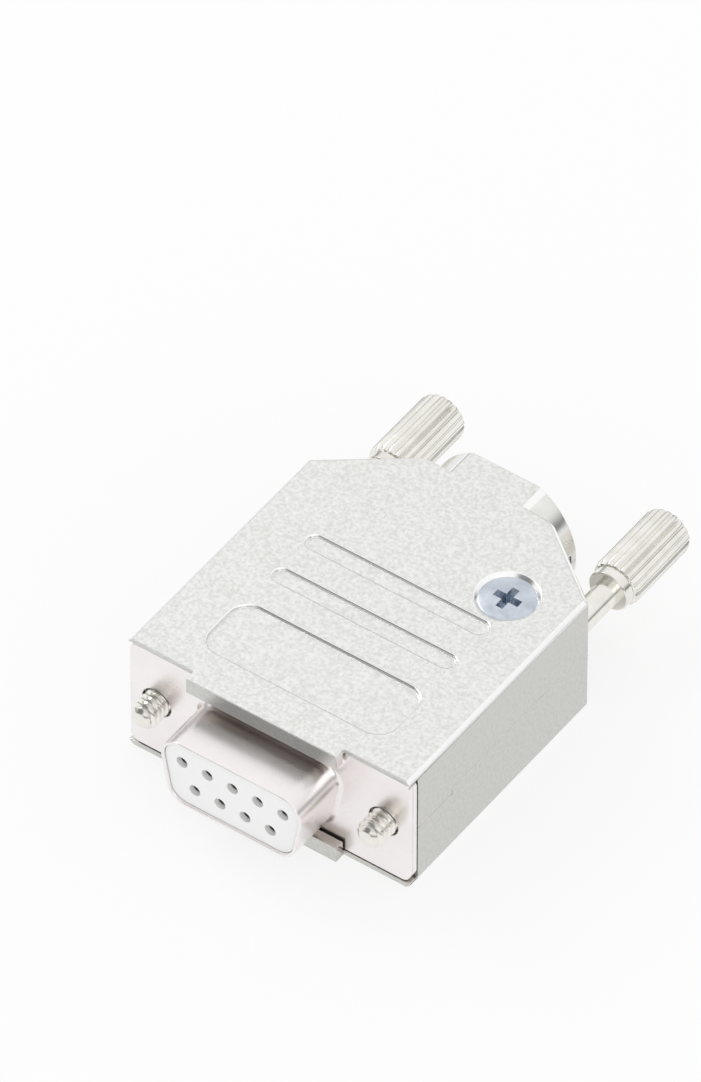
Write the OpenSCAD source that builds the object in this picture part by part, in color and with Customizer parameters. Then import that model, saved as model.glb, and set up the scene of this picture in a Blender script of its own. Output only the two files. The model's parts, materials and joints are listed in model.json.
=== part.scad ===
// D-subminiature connector hood in two die-cast halves, with its cable clamp, jackscrews and connector.
// +Z is up, +Y runs towards the cable, and the origin is on the flat underside, on the centre line.
// Both castings are one basic shape: the cover is the lower shell turned half a turn about the cable axis,
// without the posts and cross walls that hold the jackscrews.

/* [Shell] */
// Thickness of the plate where it lies over the flange's edge
bed_t = 0.55; // [0.5:0.05:0.7]
// How far each side of the hood stands out beyond the end of the connector's flange
side_margin = 0.095; // [0.05:0.005:0.5]
// Length of the straight sides, from the front edge
side_len = 27.6; // [26.5:0.1:30]
// Length of the body to its back edge
body_len = 33.7; // [33:0.1:36]
// Width of the back edge between the slanted corners
back_w = 15; // [14.9:0.1:17]
// Thickness of the top and bottom plates
plate_t = 1.05; // [0.9:0.05:1.3]
// Thickness of the outer walls
wall_t = 1.1; // [0.9:0.05:1.3]
// Polished bevel round the outside edge
bevel = 0.4; // [0.2:0.05:0.6]
// Distance from the front edge to the step in the side walls' parting line
step_y = 6.5; // [5.5:0.1:8]
// Height of that step
step_drop = 0.75; // [0.65:0.05:1]
// How far the parting line behind the step lies above the axes
side_rise = 0.6; // [0.3:0.05:0.8]

/* [Cable collar] */
// Inside radius of the collar
collar_in_r = 6.3; // [6.2:0.05:6.6]
// Outside radius of the collar, before its flats
collar_out_r = 7.8; // [7.6:0.05:8.4]
// How far the collar stands out behind the back edge
collar_out = 3.1; // [2:0.1:5]
// Length of the pocket that holds the clamp's two plates
pocket_len = 4.3; // [4.2:0.1:4.8]
// Width of that pocket
pocket_w = 13.8; // [13.4:0.1:14]
// Thickness of the half-round rib in front of the pocket
rib_t = 0.9; // [0.7:0.05:1]
// Place of the back of that rib, from the front edge
rib_back_y = 25; // [24.8:0.1:25.4]

/* [Outside relief] */
// Length of the label recess
label_len = 20.4; // [16:0.1:22]
// Width of the label recess
label_w = 6.8; // [5:0.1:7.4]
// Distance of the label recess from the front edge
label_y = 3; // [2:0.1:4]
// Depth of the label recess and of the grip grooves
relief_depth = 0.3; // [0.1:0.05:0.4]
// Length of each grip groove
groove_len = 19.8; // [15:0.1:21]
// Width of each grip groove
groove_w = 1.7; // [1:0.1:2]
// Distance between the two grip grooves
groove_pitch = 5.1; // [4:0.1:5.5]

/* [Cover screw] */
// Distance of the screw from the jackscrew's axis, towards the centre line
screw_inset = 3.295; // [3.1:0.005:3.4]
// Distance of the screw from the front edge
screw_y = 23.9; // [23.6:0.1:24]
// Thread radius of the screw
screw_r = 1.42; // [1.3:0.02:1.45]
// Radius of the screw's countersunk head
screw_head_r = 2.7; // [2.4:0.05:2.8]
// Length of the screw with its head
screw_len = 9.9; // [8.5:0.1:10.4]

/* [Jackscrews] */
// Distance of each jackscrew's axis from the end of the connector's flange
jack_inset = 2.91; // [2.85:0.01:3]
// Radius of the thread at the tip
jack_thread_r = 1.42; // [1.3:0.02:1.45]
// Length of the thread in front of the shoulder
jack_thread_len = 6.5; // [4.8:0.1:7]
// Radius of the shank
jack_shank_r = 1.3; // [1.15:0.05:1.4]
// Radius of the shoulder behind the thread
jack_shoulder_r = 1.8; // [1.7:0.05:1.85]
// Distance of the shoulder's front face from the front edge
jack_shoulder_y = 4; // [3.9:0.1:4.6]
// Radius of the knurled head
jack_head_r = 2.5; // [2.2:0.05:2.9]
// Distance of the head from the front edge
jack_head_y = 36; // [33.5:0.1:37]
// Length of the head
jack_head_len = 8.8; // [6:0.1:10]
// Number of grooves round the head
jack_flutes = 18; // [12:1:24]

/* [Cable clamp] */
// Inside radius of the clamp
clamp_bore_r = 4.1; // [3.6:0.05:4.2]
// Thickness of the clamp's half tube
clamp_wall = 0.9; // [0.7:0.05:1]
// Width of the clamp's front arch
clamp_front_w = 11.4; // [11:0.1:11.6]
// Width of the two plates
clamp_plate_w = 12.8; // [12.2:0.1:13]
// Thickness of each plate
clamp_plate_t = 1.2; // [0.9:0.05:1.3]
// Distance of the clamp's front face from the front edge
clamp_front_y = 17.5; // [17:0.1:18]
// Radius of the flange at the cable end
clamp_flange_r = 6.1; // [5.7:0.05:6.1]
// Radius of the locating peg
clamp_peg_r = 0.85; // [0.6:0.05:0.9]

/* [Connector] */
// Width of the connector's flange
flange_w = 30.81; // [30:0.01:31]
// Height of the connector's flange
flange_h = 12.55; // [12:0.05:12.6]
// Thickness of each of the two flange plates
flange_t = 0.55; // [0.4:0.05:0.6]
// Radius of the holes in the flange
flange_hole_r = 1.6; // [1.55:0.05:1.9]
// Width of the D-shaped shell
d_w = 16.3; // [16:0.05:16.6]
// Height of the D-shaped shell
d_h = 7.8; // [7.6:0.05:8]
// How far the D-shaped shell stands out in front of the flange
d_len = 5.9; // [5.5:0.1:6.2]
// Thickness of the drawn shell
d_wall = 0.4; // [0.3:0.05:0.5]
// How far the flange stands out past each end of the rear block
rear_inset_w = 5.805; // [5.8:0.005:6]
// How far the flange stands out above and below the rear block
rear_inset_h = 0.925; // [0.9:0.025:1.5]
// Length of the rear block
rear_len = 4.4; // [3.6:0.1:5]
// Distance between neighbouring contacts
contact_pitch = 2.77; // [2.7:0.01:2.8]
// Distance between the two rows of contacts
row_gap = 2.84; // [2.7:0.01:2.9]
// Outside radius of a contact
contact_r = 0.75; // [0.65:0.05:0.85]

/* [Hidden] */
$fn = 64;

slot_gap = 0.075;               // between the flange's long edges and the plates
body_w = flange_w + 2 * side_margin;
body_h = flange_h + 2 * (bed_t + slot_gap);
half_h = body_h / 2;            // the parting plane, and the height of every axis along Y
jack_pitch = flange_w - 2 * jack_inset;
screw_x = jack_pitch / 2 - screw_inset;
rear_w = flange_w - 2 * rear_inset_w;
rear_h = flange_h - 2 * rear_inset_h;
origin_y = 16.75;               // place of the origin behind the front edge, between the grip grooves
eps = 0.01;                     // how far a cut runs past a face
reach = 60;                     // longer than anything that is cut

fit_gap = 0.2;                  // clearance between pieces that drop into each other
flange_gap = 0.1;               // clearance of the flange in its slot
seat_y = 2 * flange_t + 2 * flange_gap;  // front ends of the side walls, behind the flange

lip_w = 16.5;
lip_out = 1.2;                  // how far the lip stands out in front of the front edge
lip_rise = 0.75;                // lip above the inside face of the plate
stop_t = 0.9;                   // stop bar behind the flange
post_w = 1.76;                  // thicker front ends of the side walls
post_len = 2.4;
step_gap = 0.05;                // clearance of the cover's legs in the lower shell's steps

inner_wall_t = 0.9;
inner_wall_gap = 0.1;           // between the rear block and the inner walls
inner_wall_x = rear_w / 2 + inner_wall_gap;
inner_wall_drop = 0.4;
cover_wall_y = 7.5;             // front end of the cover's inner walls
saddle_t = 1.5;                 // cross wall that each shoulder bears on
saddle_gap = 0.15;
jack_gap = 0.3;                 // room round the thread and the shank

collar_y = rib_back_y + pocket_len;
collar_end_y = body_len + collar_out;
pocket_wall_t = 1.4;
corner_rib_t = 0.8;

ring_r = 3.4;                   // boss round the clearance hole
ring_rise = 1.9;
screw_hole_r = screw_r + 0.23;
csk_margin = 0.35;              // countersink beyond the screw's head
csk_r = screw_head_r + csk_margin;
screw_seat_gap = 0.05;
boss_r = 2.9;                   // boss for the thread
boss_drop = 0.5;
boss_hole_r = screw_r + 0.08;

tongue_len = 3;                 // ridged tongue on the collar's right rim
tongue_t = 1;
tongue_gap = 0.1;
tongue_rise = 0.85;
tongue_end_gap = 0.9;           // from the tongue to the collar's end
tongue_grooves = 3;
tongue_groove_r = 0.12;

groove_y = 14.2;
groove_shift = -0.3;
label_r = 2;

pin_mark_r = 1.3;               // round marks of the ejector pins
pin_mark_depth = 0.12;
pin_marks = [[-6.6, 5.2], [7, 5], [-6.8, 15.4], [0.6, 16.4], [6.4, 13.6]];

clamp_tube_r = clamp_bore_r + clamp_wall;
clamp_end_y = collar_end_y - fit_gap;
clamp_front_t = 1.6;
clamp_front_depth = 5.1;
clamp_rail_t = 1.3;
clamp_plates_y = rib_back_y + fit_gap;
clamp_plates_len = pocket_len - 2 * fit_gap;
clamp_plates_end_y = clamp_plates_y + clamp_plates_len;
clamp_plate_depth = half_h - plate_t - 2 * fit_gap;
clamp_plate_cut = 1.1;
clamp_bridge_w = 1.4;
clamp_bridge_drop = 0.6;
clamp_flange_t = 1.1;
clamp_hole_r = 1.1;
clamp_hole_y = clamp_front_y + clamp_front_t + 2;
clamp_peg_x = (clamp_bore_r + clamp_plate_w / 2) / 2;
clamp_peg_y = clamp_plates_y + clamp_plates_len / 2;
clamp_peg_h = 1.5;
clamp_rib_w = 0.8;
clamp_rib_r = clamp_tube_r + 0.7;

cross_r = 1.35;                 // cross recess in the screw's head
cross_w = 0.75;
cross_depth = 1.1;
screw_head_h = screw_head_r - screw_r;
screw_tip = 0.4;

jack_shoulder_len = 1.6;
jack_neck_len = 1;
jack_neck_r = jack_head_r - 0.35;
jack_chamfer = 0.5;
flute_r = 0.28;
tip_chamfer = 0.5;

d_slant = 10;                   // lean of the D's short sides
d_corner_r = 2.2;
d_steps = 10;                   // facets of each corner of the D
flange_corner_r = 0.9;
face_set_back = 0.25;           // white face behind the shell's front rim
insulator_gap = 0.03;
contact_gap = 0.03;
contact_hole_r = 0.52;
mouth_r = 0.6;
contact_front_y = -d_len + face_set_back + 0.5;
cup_r = 0.95;
cup_len = 3.6;
cup_hole_r = 0.65;
rear_corner_r = 1.6;

zinc = [0.78, 0.78, 0.75];
nickel = [0.8, 0.78, 0.72];
steel_blue = [0.74, 0.78, 0.84];
tin = [0.82, 0.79, 0.77];
white_plastic = [0.93, 0.93, 0.92];
dark_plastic = [0.16, 0.13, 0.13];
gold = [0.8, 0.8, 0.78];

// ---- helpers ----

// Moves a piece from the working frame, which starts at the front edge, to the part's own origin.
module placed() {
    translate([0, -origin_y, 0])
        children();
}

// Turns a lower piece into its upper twin, half a turn about the cable axis.
module turned_over() {
    translate([0, 0, body_h])
        rotate([0, 180, 0])
            children();
}

// A round bar along +Y from y0 to y1, at x and z.
module bar_y_at(x, z, y0, y1, r) {
    translate([x, y0, z])
        rotate([-90, 0, 0])
            cylinder(r = r, h = y1 - y0);
}

// The same on the height of the axes.
module bar_y(x, y0, y1, r) {
    bar_y_at(x, half_h, y0, y1, r);
}

// A solid turned about an axis along +Y, from a profile of [radius, distance along the axis].
module turned_y(x, profile) {
    translate([x, 0, half_h])
        rotate([-90, 0, 0])
            rotate_extrude()
                polygon(profile);
}

// A box given by its two ends along each axis.
module span(x0, x1, y0, y1, z0, z1) {
    translate([x0, y0, z0])
        cube([x1 - x0, y1 - y0, z1 - z0]);
}

// A flat slot with round ends.
module slot_2d(len, w) {
    square([len - w, w], center = true);
    for (side = [-1, 1])
        translate([side * (len - w) / 2, 0])
            circle(d = w);
}

// A rectangle with round corners, made of exact arcs.
module round_rect(len, w, r) {
    square([len - 2 * r, w], center = true);
    square([len, w - 2 * r], center = true);
    for (sx = [-1, 1], sy = [-1, 1])
        translate([sx * (len / 2 - r), sy * (w / 2 - r)])
            circle(r = r);
}

// ---- shell ----

// Slanted corner: its outward normal, and how far it lies from the origin of the plan.
slant = [side_len - body_len, back_w / 2 - body_w / 2];
slant_len = norm(slant);
slant_n = -slant / slant_len;
slant_c = slant_n * [body_w / 2, side_len];

// Right half of the plan, drawn in by t from the outside.
function side_point(t) = [body_w / 2 - t, (slant_c - t - slant_n[0] * (body_w / 2 - t)) / slant_n[1]];
function back_point(t) = [(slant_c - t - slant_n[1] * (body_len - t)) / slant_n[0], body_len - t];

module plan(t, front) {
    side = side_point(t);
    back = back_point(t);
    polygon([[side[0], front], side, back, [-back[0], back[1]], [-side[0], side[1]], [-side[0], front]]);
}

// A prism that takes the outside edge off between two points of the plan.
module edge_bevel(from, to) {
    run = to - from;
    translate([from[0], from[1], 0])
        rotate([0, 0, atan2(run[1], run[0])])
            translate([-1, 0, 0])
                rotate([90, 0, 90])
                    linear_extrude(norm(run) + 2)
                        polygon([[-1, -1], [bevel + 1, -1], [-1, bevel + 1]]);
}

module outside_bevels() {
    side = side_point(0);
    back = back_point(0);
    edge_bevel([side[0], -lip_out], side);
    edge_bevel(side, back);
    mirror([1, 0, 0]) {
        // the prism's slope faces the other way after the mirror, so it still cuts inwards
        edge_bevel([side[0], -lip_out], side);
        edge_bevel(side, back);
    }
}

// Plate, outer walls and the lip that holds the flange's edge.
module shell_body() {
    linear_extrude(plate_t)
        plan(0, 0);
    difference() {
        linear_extrude(half_h)
            plan(0, seat_y);
        translate([0, 0, plate_t])
            linear_extrude(half_h)
                plan(wall_t, -eps);
    }
    span(-lip_w / 2, lip_w / 2, -lip_out, eps, 0, plate_t);
    span(-lip_w / 2, lip_w / 2, -lip_out, -flange_gap, 0, plate_t + lip_rise);
    // bar behind the flange, under the rear block
    span(-inner_wall_x, inner_wall_x, seat_y, seat_y + stop_t, 0, half_h - rear_h / 2 - fit_gap);
}

function front_top() = half_h + side_rise - step_drop;

// Thick front ends of the lower shell's side walls.
module front_posts() {
    span(body_w / 2 - post_w, body_w / 2, seat_y, seat_y + post_len, 0, front_top());
    span(-body_w / 2, -body_w / 2 + post_w, seat_y, seat_y + post_len, 0, half_h);
}

// The parting line of the side walls is stepped. The right wall reaches above the axes behind its step,
// and is lower in front of it.
module right_wall_rise() {
    span(body_w / 2 - wall_t, body_w / 2, step_y + step_gap, side_len - step_gap, half_h - eps,
        half_h + side_rise);
}

module right_wall_step() {
    span(body_w / 2 - post_w - eps, reach, seat_y - eps, step_y + eps, front_top(), body_h);
}

// The left wall is the other way round, to meet the other half's right wall.
module left_wall_rebate() {
    span(-reach, -body_w / 2 + wall_t + step_gap, step_y, side_len, half_h - side_rise, body_h);
}

module left_wall_leg() {
    span(-body_w / 2, -body_w / 2 + wall_t, seat_y, step_y, half_h - eps, body_h - front_top() - step_gap);
}

// Walls beside the rear block, from y0 back to the screw bosses.
module inner_walls(y0) {
    for (side = [-1, 1]) {
        x0 = side > 0 ? inner_wall_x : -inner_wall_x - inner_wall_t;
        span(x0, x0 + inner_wall_t, y0, screw_y - ring_r / 2, 0, half_h - inner_wall_drop);
    }
}

// Cross walls that the jackscrews' shoulders bear on.
module saddles() {
    for (side = [-1, 1]) {
        x0 = side > 0 ? inner_wall_x : -body_w / 2 + wall_t / 2;
        span(x0, x0 + body_w / 2 - wall_t / 2 - inner_wall_x, saddle_y0(), saddle_y1(), 0,
            half_h - inner_wall_drop);
    }
}

function saddle_y1() = jack_shoulder_y - saddle_gap;
function saddle_y0() = saddle_y1() - saddle_t;

// Collar for the cable, with the walls of the clamp's pocket in front of it.
module collar_block() {
    outer_w = pocket_w + 2 * pocket_wall_t;
    bar_y(0, collar_y, collar_end_y, collar_out_r);
    span(-outer_w / 2, outer_w / 2, rib_back_y - rib_t, collar_y + pocket_wall_t, 0, half_h);
    for (side = [-1, 1]) {
        // rib that stiffens the slanted corner
        translate([side * (screw_x + ring_r / 2), 0, 0])
            span(-corner_rib_t / 2, corner_rib_t / 2, rib_back_y + rib_t, side_len + wall_t, 0,
                half_h - jack_thread_r - wall_t);
    }
}

module bosses() {
    translate([-screw_x, screw_y, 0])
        cylinder(r = ring_r, h = plate_t + ring_rise);
    translate([screw_x, screw_y, 0])
        cylinder(r = boss_r, h = half_h - boss_drop);
}

// Part of the collar's ring that the tongue takes up, drawn out by t all round.
module tongue_ring(t) {
    y1 = collar_end_y - tongue_end_gap;
    difference() {
        bar_y(0, y1 - tongue_len - t, y1 + t, collar_out_r + t);
        bar_y(0, y1 - tongue_len - t - eps, y1 + t + eps, collar_out_r - tongue_t - t);
    }
}

// Ridged tongue on the collar's right rim, which laps into the other half's notch.
module tongue() {
    difference() {
        intersection() {
            tongue_ring(0);
            span(0, reach, 0, reach, half_h - tongue_rise, half_h + tongue_rise);
        }
        for (i = [0 : tongue_grooves - 1])
            bar_y_at(collar_out_r, half_h + tongue_rise * (i + 0.5) / tongue_grooves,
                collar_end_y - tongue_end_gap - tongue_len - eps, collar_end_y, tongue_groove_r);
    }
}

// Notch in the left rim for the other half's tongue.
module tongue_notch() {
    intersection() {
        tongue_ring(tongue_gap);
        span(-reach, 0, 0, reach, half_h - tongue_rise - tongue_gap, reach);
    }
}

// Everything that is cut out of the inside.
module shell_cuts() {
    // bed of the flange's edge
    span(-reach, reach, -flange_gap, seat_y, bed_t, plate_t + eps);
    // pocket of the clamp's plates, and the bore of the rib and the collar
    span(-pocket_w / 2, pocket_w / 2, rib_back_y, collar_y, plate_t, body_h);
    bar_y(0, rib_back_y - rib_t - eps, collar_end_y + eps, collar_in_r);
    // above the parting plane and below the outside face
    span(-reach, reach, -reach, reach, half_h, reach);
    span(-reach, reach, -reach, reach, -reach, 0);
    // room for the jackscrews
    for (side = [-1, 1])
        bar_y(side * jack_pitch / 2, -lip_out, body_len + eps, jack_thread_r + jack_gap);
    // screw holes
    translate([-screw_x, screw_y, -eps])
        cylinder(r = screw_hole_r, h = body_h);
    translate([-screw_x, screw_y, -eps])
        cylinder(r1 = csk_r + eps, r2 = screw_hole_r, h = csk_r - screw_hole_r + eps);
    translate([screw_x, screw_y, plate_t])
        cylinder(r = boss_hole_r, h = body_h);
    // label recess and grip grooves in the outside face
    translate([groove_shift, label_y + label_w / 2, -eps])
        linear_extrude(relief_depth + eps)
            round_rect(label_len, label_w, label_r);
    for (i = [0, 1])
        translate([groove_shift, groove_y + i * groove_pitch, -eps])
            linear_extrude(relief_depth + eps)
                slot_2d(groove_len, groove_w);
    // ejector pin marks on the inside face
    for (p = pin_marks)
        translate([p[0], p[1], plate_t - pin_mark_depth])
            cylinder(r = pin_mark_r, h = body_h);
}

module half_shell(is_cover) {
    difference() {
        union() {
            shell_body();
            if (!is_cover) {
                front_posts();
                saddles();
            }
            inner_walls(is_cover ? cover_wall_y : seat_y);
            collar_block();
            bosses();
        }
        shell_cuts();
        tongue_notch();
        outside_bevels();
        right_wall_step();
        left_wall_rebate();
    }
    tongue();
    right_wall_rise();
    left_wall_leg();
}

module lower_shell() {
    color(zinc)
        placed()
            half_shell(false);
}

module upper_shell() {
    color(zinc)
        placed()
            turned_over()
                half_shell(true);
}

// ---- cover screw ----

// Turned solid along +Z from its tip at 0: shank with thread grooves, and a countersunk head.
module screw_blank() {
    rotate_extrude()
        polygon([[0, 0], [screw_r - screw_tip, 0], [screw_r, screw_tip],
            [screw_r, screw_len - screw_head_h], [screw_head_r, screw_len], [0, screw_len]]);
}

module cover_screw() {
    top = body_h - csk_margin + screw_seat_gap;
    color(steel_blue)
        placed()
            translate([screw_x, screw_y, top - screw_len])
                difference() {
                    screw_blank();
                    for (turn = [0, 90])
                        rotate([0, 0, turn])
                            translate([-cross_r, -cross_w / 2, screw_len - cross_depth])
                                cube([2 * cross_r, cross_w, cross_depth + eps]);
                }
}

// ---- cable clamp ----

// Half ring in the lower half, between two radii.
module half_tube(r_in, r_out, y0, y1) {
    difference() {
        bar_y(0, y0, y1, r_out);
        bar_y(0, y0 - eps, y1 + eps, r_in);
        span(-reach, reach, -reach, reach, half_h, reach);
    }
}

// Front arch: a block with cut corners round the half bore.
module clamp_front() {
    w = clamp_front_w / 2;
    cut = clamp_plate_cut;
    translate([0, clamp_front_y + clamp_front_t, half_h])
        rotate([90, 0, 0])
            linear_extrude(clamp_front_t)
                polygon([[-w, 0], [w, 0], [w, cut - clamp_front_depth], [w - cut, -clamp_front_depth],
                    [cut - w, -clamp_front_depth], [-w, cut - clamp_front_depth]]);
    for (side = [-1, 1]) {
        x0 = side > 0 ? clamp_bore_r - clamp_wall : -w;
        span(x0, x0 + w - clamp_bore_r + clamp_wall, clamp_front_y, clamp_plates_y + eps,
            half_h - clamp_rail_t, half_h);
    }
}

// One of the two plates that drop into the shell's pocket.
module clamp_plate(y0) {
    w = clamp_plate_w / 2;
    cut = clamp_plate_cut;
    translate([0, y0 + clamp_plate_t, half_h])
        rotate([90, 0, 0])
            linear_extrude(clamp_plate_t)
                polygon([[-w, 0], [w, 0], [w, cut - clamp_plate_depth], [w - cut, -clamp_plate_depth],
                    [cut - w, -clamp_plate_depth], [-w, cut - clamp_plate_depth]]);
}

module clamp_half() {
    difference() {
        union() {
            clamp_front();
            half_tube(clamp_bore_r - eps, clamp_tube_r, clamp_front_y + eps, clamp_end_y - eps);
            clamp_plate(clamp_plates_y);
            clamp_plate(clamp_plates_end_y - clamp_plate_t);
            // bridge and lands between the plates
            span(-clamp_bridge_w / 2, clamp_bridge_w / 2, clamp_plates_y, clamp_plates_end_y,
                half_h - clamp_plate_depth + clamp_bridge_drop, half_h);
            span(-clamp_plate_w / 2, clamp_plate_w / 2, clamp_plates_y, clamp_plates_end_y,
                half_h - clamp_rail_t, half_h);
            half_tube(clamp_bore_r - eps, clamp_flange_r, clamp_end_y - clamp_flange_t, clamp_end_y);
            clamp_ribs();
            clamp_peg(clamp_peg_r, clamp_peg_h, clamp_peg_x);
        }
        bar_y(0, clamp_front_y - eps, clamp_end_y + eps, clamp_bore_r);
        translate([-clamp_peg_x, clamp_peg_y, half_h - clamp_peg_h - fit_gap])
            cylinder(r = clamp_peg_r + fit_gap, h = body_h);
        translate([0, clamp_hole_y, 0])
            cylinder(r = clamp_hole_r, h = half_h);
    }
}

module clamp_peg(r, h, x) {
    translate([x, clamp_peg_y, half_h - clamp_rail_t])
        cylinder(r = r, h = clamp_rail_t + h);
}

// Lengthwise ribs on the sleeve: one at the bottom and one along each rim.
module clamp_ribs() {
    span(-clamp_rib_w / 2, clamp_rib_w / 2, clamp_plates_end_y - eps, clamp_end_y - eps,
        half_h - clamp_rib_r, half_h - clamp_bore_r + eps);
    for (side = [-1, 1]) {
        x0 = side > 0 ? clamp_bore_r - eps : -clamp_rib_r;
        span(x0, x0 + clamp_rib_r - clamp_bore_r + eps, clamp_plates_end_y - eps, clamp_end_y - eps,
            half_h - clamp_rib_w, half_h);
    }
}

module clamp_lower() {
    color(dark_plastic)
        placed()
            clamp_half();
}

module clamp_upper() {
    color(dark_plastic)
        placed()
            turned_over()
                clamp_half();
}

// ---- jackscrews ----

module jackscrew(x) {
    tip = jack_shoulder_y - jack_thread_len;
    head_end = jack_head_y + jack_head_len;
    difference() {
        turned_y(x, [[0, tip], [jack_thread_r - tip_chamfer, tip], [jack_thread_r, tip + tip_chamfer],
            [jack_thread_r, jack_shoulder_y], [jack_shoulder_r, jack_shoulder_y],
            [jack_shoulder_r, jack_shoulder_y + jack_shoulder_len],
            [jack_shank_r, jack_shoulder_y + jack_shoulder_len + jack_shoulder_r - jack_shank_r],
            [jack_shank_r, jack_head_y - jack_neck_len], [jack_neck_r, jack_head_y - jack_neck_len],
            [jack_neck_r, jack_head_y], [jack_head_r - jack_chamfer, jack_head_y],
            [jack_head_r, jack_head_y + jack_chamfer], [jack_head_r, head_end - jack_chamfer],
            [jack_head_r - jack_chamfer, head_end], [0, head_end]]);
        for (i = [0 : jack_flutes - 1])
            translate([x, jack_head_y + jack_chamfer / 2, half_h])
                rotate([0, i * 360 / jack_flutes, 0])
                    translate([jack_head_r + flute_r / 3, 0, 0])
                        rotate([-90, 0, 0])
                            cylinder(r = flute_r, h = jack_head_len, $fn = 24);
    }
}

module jackscrew_left() {
    color(nickel)
        placed()
            jackscrew(-jack_pitch / 2);
}

module jackscrew_right() {
    color(nickel)
        placed()
            jackscrew(jack_pitch / 2);
}

// ---- connector ----

// Corner arcs of the D outline in X and Z, drawn in by t: its centres lie r inside the leaning sides.
function d_arc(x, z, r, a0, a1) = [for (i = [0 : d_steps])
    let (a = a0 + (a1 - a0) * i / d_steps) [x + r * cos(a), z + r * sin(a)]];

module d_outline(t) {
    r = d_corner_r - t;
    top_x = d_w / 2 - t;
    bottom_x = top_x - tan(d_slant) * (d_h - 2 * t);
    cx_top = top_x - r * (1 + sin(d_slant)) / cos(d_slant);
    cx_bottom = bottom_x - r * (1 - sin(d_slant)) / cos(d_slant);
    cz = d_h / 2 - t - r;
    polygon(concat(d_arc(cx_bottom, -cz, r, -90, -d_slant), d_arc(cx_top, cz, r, -d_slant, 90),
        d_arc(-cx_top, cz, r, 90, 180 + d_slant), d_arc(-cx_bottom, -cz, r, 180 + d_slant, 270)));
}

// Extrudes a plan in X and Z from y0 to y1 at the height of the axis.
module extruded_y(y0, y1) {
    translate([0, y1, half_h])
        rotate([90, 0, 0])
            linear_extrude(y1 - y0)
                children();
}

module flange_2d() {
    difference() {
        round_rect(flange_w, flange_h, flange_corner_r);
        for (side = [-1, 1])
            translate([side * jack_pitch / 2, 0])
                circle(r = flange_hole_r);
    }
}

module connector_front_shell() {
    y0 = flange_gap;
    color(tin)
        placed()
            difference() {
                union() {
                    extruded_y(y0, y0 + flange_t)
                        flange_2d();
                    extruded_y(y0 - d_len, y0 + eps)
                        d_outline(0);
                }
                extruded_y(y0 - d_len - eps, y0 + flange_t + eps)
                    d_outline(d_wall);
            }
}

module connector_rear_shell() {
    y0 = flange_gap + flange_t;
    color(tin)
        placed()
            difference() {
                extruded_y(y0, y0 + flange_t)
                    flange_2d();
                extruded_y(y0 - eps, y0 + flange_t + eps)
                    d_outline(d_wall);
            }
}

// Centre of contact i in X and Z, counted from the upper row's left end.
function contact_place(i) = i <= 5
    ? [(i - 3) * contact_pitch, row_gap / 2]
    : [(i - 7.5) * contact_pitch, -row_gap / 2];

module contact_holes(r, y0, y1) {
    for (i = [1 : 9])
        translate([contact_place(i)[0], y0, half_h + contact_place(i)[1]])
            rotate([-90, 0, 0])
                cylinder(r = r, h = y1 - y0, $fn = 32);
}

module connector_front_insulator() {
    y0 = flange_gap - d_len + face_set_back;
    y1 = flange_gap + flange_t;
    color(white_plastic)
        placed()
            difference() {
                extruded_y(y0, y1)
                    d_outline(d_wall + insulator_gap);
                contact_holes(contact_r + contact_gap, y0 + 0.5, y1 + eps);
                contact_holes(mouth_r, y0 - eps, y1);
            }
}

module connector_rear_insulator() {
    y0 = flange_gap + flange_t;
    y1 = flange_gap + 2 * flange_t;
    color(white_plastic)
        placed()
            difference() {
                union() {
                    extruded_y(y0, y1 + eps)
                        d_outline(d_wall + insulator_gap);
                    extruded_y(y1, y1 + rear_len)
                        round_rect(rear_w, rear_h, rear_corner_r);
                }
                contact_holes(contact_r + contact_gap, y0 - eps, y1 + rear_len + eps);
            }
}

// Turned contact: socket in front, and a solder cup behind with its side cut open.
module contact(i) {
    y0 = flange_gap + contact_front_y;
    y1 = flange_gap + 2 * flange_t + rear_len;
    place = contact_place(i);
    color(gold)
        placed()
            translate([place[0], 0, place[1]])
                difference() {
                    turned_y(0, [[0, y0], [contact_r, y0], [contact_r, y1 + 0.05], [cup_r, y1 + 0.05],
                        [cup_r, y1 + cup_len], [0, y1 + cup_len]]);
                    bar_y(0, y0 - eps, y0 + d_len, contact_hole_r);
                    bar_y(0, y1 + cup_len / 3, y1 + cup_len + eps, cup_hole_r);
                    span(-reach, reach, y1 + cup_len / 2, y1 + cup_len + eps, half_h + cup_r / 3, reach);
                }
}

module contact_1() {
    contact(1);
}
module contact_2() {
    contact(2);
}
module contact_3() {
    contact(3);
}
module contact_4() {
    contact(4);
}
module contact_5() {
    contact(5);
}
module contact_6() {
    contact(6);
}
module contact_7() {
    contact(7);
}
module contact_8() {
    contact(8);
}
module contact_9() {
    contact(9);
}

lower_shell();
upper_shell();
cover_screw();
clamp_lower();
clamp_upper();
jackscrew_left();
jackscrew_right();
connector_front_shell();
connector_rear_shell();
connector_front_insulator();
connector_rear_insulator();
contact_1();
contact_2();
contact_3();
contact_4();
contact_5();
contact_6();
contact_7();
contact_8();
contact_9();
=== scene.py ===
import json
import math

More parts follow.
